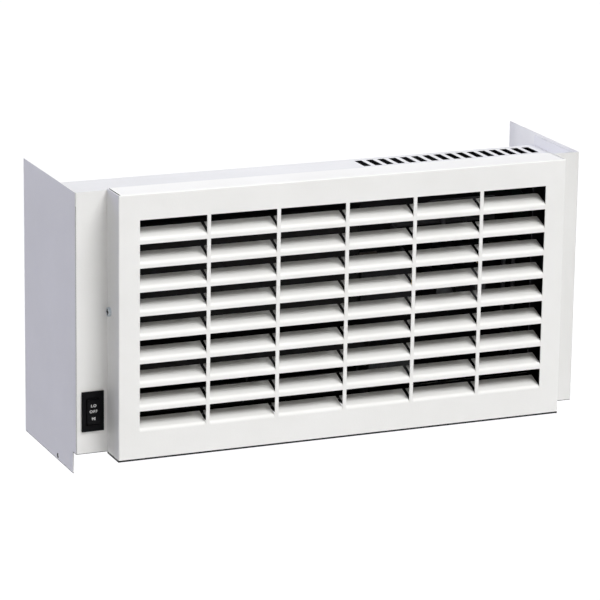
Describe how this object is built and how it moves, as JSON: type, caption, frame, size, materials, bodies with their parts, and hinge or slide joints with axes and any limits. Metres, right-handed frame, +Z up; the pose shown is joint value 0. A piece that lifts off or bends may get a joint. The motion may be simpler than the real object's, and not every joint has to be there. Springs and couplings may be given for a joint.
{
  "type": "propane wall heater",
  "caption": "Shallow white sheet-metal wall heater with a louvred front tray, a rocker switch, a slotted recessed top, vent pipes behind and wall rails.",
  "frame": {"origin": "on the wall plane, at the centre of the wall screw holes", "axes": "+X to the right seen from the room, +Y into the wall, +Z up"},
  "size_m": [0.57, 0.202, 0.302],
  "materials": {
    "white_paint": "fine powder coat",
    "galvanised_steel": "galvanised",
    "zinc_screws": "zinc plated",
    "aluminised_steel": "aluminised, dull",
    "black_plastic": "moulded satin",
    "brass": "turned",
    "ceramic": "unglazed",
    "black_rubber": "moulded",
    "lead_jacket": "sleeved",
    "board": "lacquered laminate",
    "motor_steel": "as cast",
    "bright_steel": "ground",
    "grey_gasket": "fibre filled",
    "black_enamel": "heat-proof enamel"
  },
  "bodies": {
    "cabinet": {"left_side_panel": "white_paint", "right_side_panel": "white_paint", "top_deck": "white_paint", "bottom_panel": "white_paint", "front_cover": "white_paint", "rear_panel": "galvanised_steel", "upper_wall_rail": "galvanised_steel", "lower_wall_rail": "galvanised_steel", "rear_screws": "zinc_screws", "rail_screws": "zinc_screws", "cover_screws": "zinc_screws", "foot_screws": "zinc_screws", "motor_screws": "zinc_screws", "board_screws": "zinc_screws", "switch_body": "black_plastic", "switch_terminals": "brass", "shaft_bush": "brass", "fan_motor": "motor_steel", "motor_bushes": "black_rubber", "left_end_plate": "black_enamel", "right_end_plate": "black_enamel", "fan_scroll": "black_enamel", "fan_tongue": "black_enamel", "chamber_front_shell": "black_enamel", "chamber_rear_shell": "black_enamel", "chamber_brackets": "black_enamel", "flue_pipe": "aluminised_steel", "air_pipe": "aluminised_steel", "vent_gaskets": "grey_gasket", "burner_tube": "aluminised_steel", "burner_gasket": "grey_gasket", "burner_plate": "aluminised_steel", "air_box": "galvanised_steel", "gas_orifice": "brass", "spark_insulator": "ceramic", "sensor_insulator": "ceramic", "spark_rod": "bright_steel", "sensor_rod": "bright_steel", "limit_switch": "black_plastic", "gas_valve": "motor_steel", "low_coil": "black_plastic", "high_coil": "black_plastic", "manifold_pipe": "aluminised_steel", "supply_pipe": "aluminised_steel", "inlet_fitting": "brass", "valve_bracket": "galvanised_steel", "control_board": "board", "board_standoffs": "black_plastic", "board_relays": "black_plastic", "board_plug": "ceramic", "switch_lead": "lead_jacket", "motor_lead": "lead_jacket", "coil_leads": "lead_jacket", "spark_lead": "lead_jacket", "sensor_lead": "lead_jacket"},
    "rocker": {"rocker_paddle": "black_plastic"},
    "fan": {"fan_wheel": "galvanised_steel", "fan_shaft": "bright_steel"},
    "gas_cock": {"gas_cock_knob": "black_plastic"}
  },
  "joints": [
    {"name": "rocker_tilt", "type": "hinge", "parent": "cabinet", "child": "rocker", "pos_m": [-0.26715, -0.166, -0.0817], "axis": [1, 0, 0], "range_deg": [-11, 11]},
    {"name": "fan_spin", "type": "hinge", "parent": "cabinet", "child": "fan", "pos_m": [-0.0865, -0.1125, -0.078], "axis": [1, 0, 0], "continuous": true},
    {"name": "gas_cock_turn", "type": "hinge", "parent": "cabinet", "child": "gas_cock", "pos_m": [0.1565, -0.1505, 0.0085], "axis": [0, 1, 0], "range_deg": [0, 90]}
  ]
}
